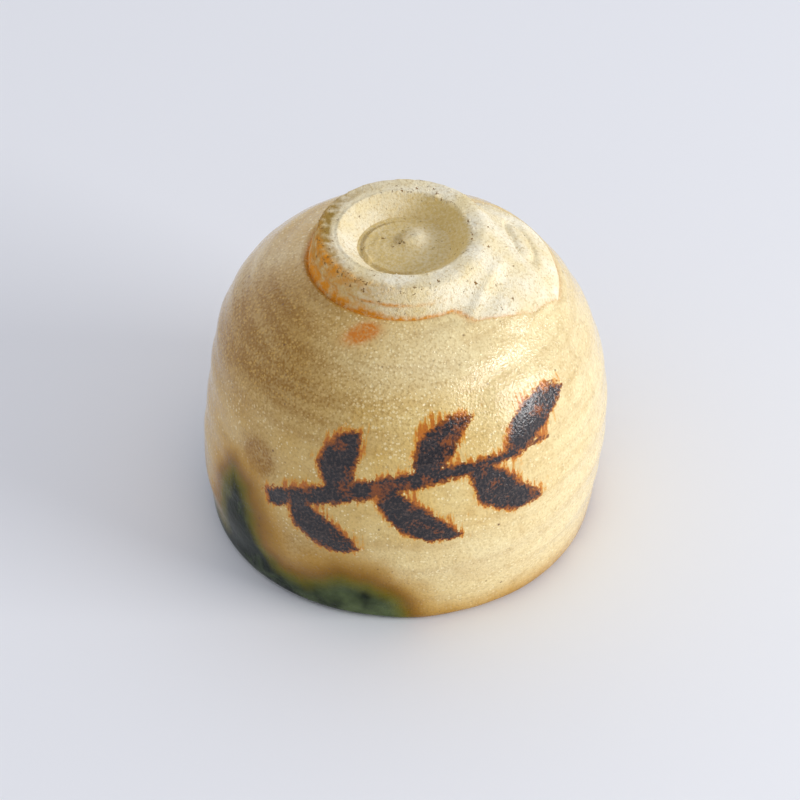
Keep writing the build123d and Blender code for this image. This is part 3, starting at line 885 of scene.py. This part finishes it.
def melted_glaze(name, roughness):
    """Ash glaze with copper and iron melted into it, where their fields say so."""
    material, tree, shader = new_material(name)
    place = add_node(tree, "ShaderNodeTexCoord").outputs["Object"]
    here = {
        key: add_node(tree, "ShaderNodeAttribute", attribute_name=key).outputs["Fac"] for key in GLAZE_FIELDS
    }
    flow_here = add_node(tree, "ShaderNodeAttribute", attribute_name="flow").outputs["Vector"]
    noise = {}
    for key, (size, detail) in ROUND.items():
        noise[key] = add_node(tree, "ShaderNodeTexNoise", {
            "Vector": place, "Scale": per_mm(size), "Detail": detail})
    for key, stretch in STRETCHED.items():
        along = add_node(tree, "ShaderNodeVectorMath", {0: flow_here, 1: stretch}, operation="MULTIPLY")
        noise[key] = add_node(tree, "ShaderNodeTexNoise", {"Vector": along, "Scale": 1.0, "Detail": 3.0})

    # Straw glaze: darker on the left as painted shade and paler on the right as painted light, streaked by
    # the sponge, paler in patches with a painted sheen high on the left edge, and dusky in fine specks
    covers = []
    grainy = add_node(tree, "ShaderNodeMath", {0: here["crystals_and_glints"], 1: 0.25, 2: 0.28}, operation="MULTIPLY_ADD")
    for source, low, high, most, code in (
        (noise["cloud"], 0.32, 0.68, 0.9, "dcb660"), (here["shade_left_light_right"], 0.0, 1.0, 0.45, "b8883a"),
        (here["shade_left_light_right"], 0.0, -1.0, 0.8, "f0e0b2"), (noise["streak"], 0.48, 0.72, 0.32, "b08438"),
        (here["pale_and_sheen"], 0.0, 1.0, 0.95, "f6e9c0"),
        (here["crystals_and_glints"], 0.0, 1.0, 0.1, "ab843a"), (noise["blob"], 0.5, 0.72, 0.25, "b48c44"),
        (noise["speck"], 0.47, 0.68, grainy, "987020"),
    ):
        cover = add_node(tree, "ShaderNodeMapRange", {0: source, 1: low, 2: high, 4: most})
        covers.append((cover, colour(code)))

    # Patches of ash, scorch and flash, broken by the same specks
    broken = add_node(tree, "ShaderNodeMapRange", {0: noise["speck"], 1: 0.35, 2: 0.65, 3: 0.55, 4: 1.1})
    streaked = add_node(tree, "ShaderNodeMapRange", {0: noise["streak"], 1: 0.34, 2: 0.62, 3: 0.7, 4: 1.15})
    streaked = add_node(tree, "ShaderNodeMath", {0: streaked, 1: broken}, operation="MULTIPLY")
    patches = []
    for key, code, breaks in (
        ("olive", "966800", streaked), ("stain", "986800", broken), ("spot", "cc7600", broken),
        ("flash", "c8801c", broken),
    ):
        cover = add_node(tree, "ShaderNodeMath", {
            0: here[key], 1: breaks}, operation="MULTIPLY", use_clamp=True)
        patches.append((cover, colour(code)))

    # Crystals that grew like sugar as the glaze cooled, partly painted glints of light, over the olive ash
    # and under the other patches
    crystal_glint_share = add_node(tree, "ShaderNodeMath", {0: here["crystals_and_glints"], 1: 0.5, 2: 0.2}, operation="MULTIPLY_ADD")
    gilt = add_node(tree, "ShaderNodeMapRange", {0: here["olive"], 2: 0.8})
    gilt = add_node(tree, "ShaderNodeMix", {
        0: gilt, 6: colour("fae8b4"), 7: colour("cda24c")}, data_type="RGBA").outputs[2]
    covers.append(patches[0])
    for pitch, largest in ((0.42, 0.24), (0.7, 0.3)):
        crystal_glint_dots = dots(tree, place, pitch, crystal_glint_share, 0.06, largest)
        crystal_glint_dots = add_node(tree, "ShaderNodeMath", {0: crystal_glint_dots, 1: 0.7}, operation="MULTIPLY")
        covers.append((crystal_glint_dots, gilt))
    covers += patches[1:]

    # Copper: an ochre halo, olive, then dark green, darkest on the left as painted shade, with an edge that
    # the pull of the melt frays
    pulled = add_node(tree, "ShaderNodeMapRange", {
        0: noise["pull"], 1: 0.3, 2: 0.7, 3: 1.2, 4: -1.2})
    dipped = add_node(tree, "ShaderNodeMath", {0: here["copper"], 1: pulled}, operation="ADD")
    # The green is thicker by chance, and darker on the left as painted shade
    thick_and_shaded = add_node(tree, "ShaderNodeMath", {
        0: noise["gust"], 1: 1.6, 2: here["shade_left_light_right"]}, operation="MULTIPLY_ADD")
    thick_and_shaded = add_node(tree, "ShaderNodeMapRange", {0: thick_and_shaded, 1: 0.8, 2: 1.6})
    green = add_node(tree, "ShaderNodeMix", {
        0: thick_and_shaded, 6: colour("5e6c46"), 7: colour("0e1c16")}, data_type="RGBA").outputs[2]
    for low, high, most, tint in (
        (8.0, 1.5, 0.85, colour("b88412")), (4.6, 0.6, 0.9, colour("7f5400")),
        (2.0, -1.2, 0.9, colour("6c680e")), (0.6, -2.8, 0.97, green),
    ):
        cover = add_node(tree, "ShaderNodeMapRange", {
            0: dipped, 1: low, 2: high, 4: most}, interpolation_type="SMOOTHSTEP")
        covers.append((cover, tint))
    mirror = add_node(tree, "ShaderNodeMapRange", {0: dipped, 1: 6.0, 2: -1.0, 3: 0.5, 4: 0.1})
    tree.links.new(mirror.outputs[0], shader.inputs["Specular IOR Level"])

    # Iron: flames that reach up the wall from each stroke, rust beside it, and the dark stroke itself
    fray = add_node(tree, "ShaderNodeMath", {0: noise["speck"], 1: noise["blob"]}, operation="ADD")
    fray = add_node(tree, "ShaderNodeMath", {0: fray, 1: 1.0}, operation="SUBTRACT")
    edge = add_node(tree, "ShaderNodeMath", {0: fray, 1: 1.6, 2: here["iron"]}, operation="MULTIPLY_ADD")
    above = add_node(tree, "ShaderNodeMath", {0: here["iron"], 1: here["run"]}, operation="SUBTRACT")
    reach = add_node(tree, "ShaderNodeMapRange", {0: above, 1: -1.1, 2: 1.1, 3: 0.3, 4: 1.0})
    gust = add_node(tree, "ShaderNodeMapRange", {0: noise["gust"], 1: 0.34, 2: 0.66, 3: 0.1, 4: 1.0})
    lick = add_node(tree, "ShaderNodeMapRange", {0: noise["flame"], 1: 0.36, 2: 0.7, 4: 4.6})
    lick = add_node(tree, "ShaderNodeMath", {0: lick, 1: gust}, operation="MULTIPLY")
    length = add_node(tree, "ShaderNodeMath", {0: lick, 1: reach, 2: 0.35}, operation="MULTIPLY_ADD")
    burnt = add_node(tree, "ShaderNodeMath", {0: edge, 1: length}, operation="DIVIDE")
    ash = add_node(tree, "ShaderNodeMapRange", {0: noise["speck"], 1: 0.46, 2: 0.68, 4: 0.7})
    black = add_node(tree, "ShaderNodeMix", {
        0: ash, 6: colour("18151b"), 7: colour("5c4a42")}, data_type="RGBA").outputs[2]
    thin = add_node(tree, "ShaderNodeMath", {
        0: noise["speck"], 1: 0.5, 2: noise["gust"]}, operation="MULTIPLY_ADD")
    dry = add_node(tree, "ShaderNodeMapRange", {0: thin, 1: 0.8, 2: 0.96, 4: 0.9})
    black = add_node(tree, "ShaderNodeMix", {
        0: dry, 6: black, 7: colour("8a460a")}, data_type="RGBA").outputs[2]
    core = None
    for source, low, high, most, tint in (
        (burnt, 1.1, 0.5, 0.85, colour("d9971f")), (burnt, 0.75, 0.3, 0.95, colour("b8650d")),
        (edge, 0.5, 0.05, 0.9, colour("6e3809")), (edge, 0.1, -0.35, 1.0, black),
    ):
        core = add_node(tree, "ShaderNodeMapRange", {
            0: source, 1: low, 2: high, 4: most}, interpolation_type="SMOOTHSTEP")
        covers.append((core, tint))

    # Specks of iron from the clay
    covers.append((dots(tree, place, 2.0, 0.4, 0.12, 0.32), colour("6a4420")))
    base = colour("ead08c")
    for cover, tint in covers:
        base = add_node(tree, "ShaderNodeMix", {0: cover, 6: base, 7: tint}, data_type="RGBA").outputs[2]
    tree.links.new(base, shader.inputs["Base Color"])

    # Pinholes and orange peel
    holes = add_node(tree, "ShaderNodeTexVoronoi", {
        "Vector": place, "Scale": per_mm(0.7)}).outputs["Distance"]
    holes = add_node(tree, "ShaderNodeMapRange", {
        0: holes, 1: 0.3, 2: 0.1, 4: -0.4}, interpolation_type="SMOOTHSTEP")
    rough = add_node(tree, "ShaderNodeMath", {0: noise["speck"], 1: holes}, operation="ADD")
    bump = add_node(tree, "ShaderNodeBump", {"Height": rough, "Distance": 0.11 * MM, "Strength": 1.0})
    tree.links.new(bump.outputs[0], shader.inputs["Normal"])
    dull = add_node(tree, "ShaderNodeMapRange", {0: core, 3: roughness, 4: roughness + 0.06})
    tree.links.new(dull.outputs[0], shader.inputs["Roughness"])
    shader.inputs["IOR"].default_value = 1.5
    return material


glazes = {
    "straw_glaze": melted_glaze("straw_ash_glaze", 0.06),
    "copper_glaze": melted_glaze("copper_green_ash_glaze", 0.13),
    "iron_brushwork": melted_glaze("iron_painting_under_ash_glaze", 0.06),
}
print("glazes:", [m.name for m in glazes.values()])

# %% [markdown]
# Coarse clay carries grog, crushed fired clay that keeps it from cracking. Where the tool scraped the foot,
# grains of it stand proud. They repeat over a surface, so Geometry Nodes scatters them: points by chance on
# the bare tops, a small faceted grain on each, turned to the surface and scaled by chance from a fixed seed.

# %% The tree that scatters grog
GROG = {"Density": 0.5, "Grain Size": 0.16, "Seed": 7}


def grog_tree(sources, material):
    """A tree that scatters faceted grains on the upper side of the given pieces."""
    tree, given = new_tree("scatter_grog", GROG)
    joined = add_node(tree, "GeometryNodeJoinGeometry")
    for source in sources:
        info = add_node(tree, "GeometryNodeObjectInfo", {"Object": source})
        tree.links.new(info.outputs["Geometry"], joined.inputs[0])
    upper = add_node(tree, "GeometryNodeInputNamedAttribute", {"Name": "top"}, data_type="FLOAT")
    per_area = add_node(tree, "ShaderNodeMath", {0: given["Density"], 1: upper}, operation="MULTIPLY")
    per_area = add_node(tree, "ShaderNodeMath", {0: per_area, 1: 1 / (MM * MM)}, operation="MULTIPLY")
    spots = add_node(tree, "GeometryNodeDistributePointsOnFaces", {
        "Mesh": joined, "Density": per_area, "Seed": given["Seed"]}, distribute_method="RANDOM")
    radius_in = add_node(tree, "ShaderNodeMath", {0: given["Grain Size"], 1: MM}, operation="MULTIPLY")
    grain = add_node(tree, "GeometryNodeMeshIcoSphere", {"Radius": radius_in, "Subdivisions": 1})
    size = add_node(tree, "FunctionNodeRandomValue", {
        2: 0.35, 3: 1.0, 8: given["Seed"]}, data_type="FLOAT").outputs[1]
    scattered = add_node(tree, "GeometryNodeInstanceOnPoints", {
        "Points": spots.outputs["Points"], "Instance": grain, "Rotation": spots.outputs["Rotation"],
        "Scale": size})
    return end_tree(tree, scattered, material)


grog = placed("grog_grains", bpy.data.meshes.new("grog_grains"))
run_tree(grog, grog_tree([pieces["foot_ring"], pieces["luting_smear"]], clay_material), GROG)
print("grog:", len(grog.data.polygons), "faces")

# %% [markdown]
# Each piece now takes its material, rides on the one body that a cup has, and stands for its solid.

# %% Dressing
SLOTS = {part["node"]: part["material_slot"] for part in frame["record"]["subparts"]}
for name, piece in pieces.items():
    slot_name = SLOTS[name]
    piece.data.materials.clear()
    piece.data.materials.append(glazes.get(slot_name, clay_material))
    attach(piece, "root")
    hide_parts(name)
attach(grog, "root")
print(len(pieces) + 1, "pieces dressed")

# %% [markdown]
# The cup stands on a pale table with a little blue in it, lit by one window low on the right. The window is
# an area light, wide enough for a soft shadow and for the broken highlight on the haunch, and the room is a
# cool fill, dim overhead and palest behind and on the left. Their sum is near plain white, so a colour
# renders about as written. The sizes of the table and the window are in metres.

# %% Table
HALF_TABLE = 3.0
table_corners = [(x * HALF_TABLE, y * HALF_TABLE, 0) for x, y in ((-1, -1), (1, -1), (1, 1), (-1, 1))]
table_mesh = bpy.data.meshes.new("table")
table_mesh.from_pydata(table_corners, [], [(0, 1, 2, 3)])
table = placed("table", table_mesh)
table_material, _, table_paint = new_material("matt_white_table")
table_paint.inputs["Base Color"].default_value = colour("eff0f3")
table_paint.inputs["Roughness"].default_value = 0.7
table_mesh.materials.append(table_material)
print("table is", 2 * HALF_TABLE, "m wide")

# %% Window and room
WINDOW_FROM = Vector((0.9, -0.32, 0.34)).normalized()
WINDOW_DISTANCE, WINDOW_WIDTH, WINDOW_HEIGHT = 0.8, 0.44, 0.22
WINDOW_WATTS = 4.4
window_data = bpy.data.lights.new("window", "AREA")
window_data.shape = "RECTANGLE"
window_data.size = WINDOW_WIDTH
window_data.size_y = WINDOW_HEIGHT
window_data.energy = WINDOW_WATTS
window = placed("window", window_data)
window.location = WINDOW_FROM * WINDOW_DISTANCE
window.rotation_euler = (-WINDOW_FROM).to_track_quat("-Z", "Y").to_euler()

# The ceiling is dim, and the walls behind and on the left are the palest
ROOM_LEVEL = 0.97
PALER_TOWARDS = (-0.14, 0.26, -0.28)
world = bpy.data.worlds.new("room")
bpy.context.scene.world = world
world.use_nodes = True
room = world.node_tree
sky = room.nodes["Background"]
sky.inputs["Color"].default_value = colour("eceef6")
side = add_node(room, "ShaderNodeTexCoord").outputs["Generated"]
paler = add_node(room, "ShaderNodeVectorMath", {0: side, 1: PALER_TOWARDS}, operation="DOT_PRODUCT")
level = add_node(room, "ShaderNodeMath", {0: paler.outputs["Value"], 1: ROOM_LEVEL}, operation="ADD")
room.links.new(level.outputs[0], sky.inputs["Strength"])
bpy.context.scene.view_settings.view_transform = "Standard"
print("window and room lit")
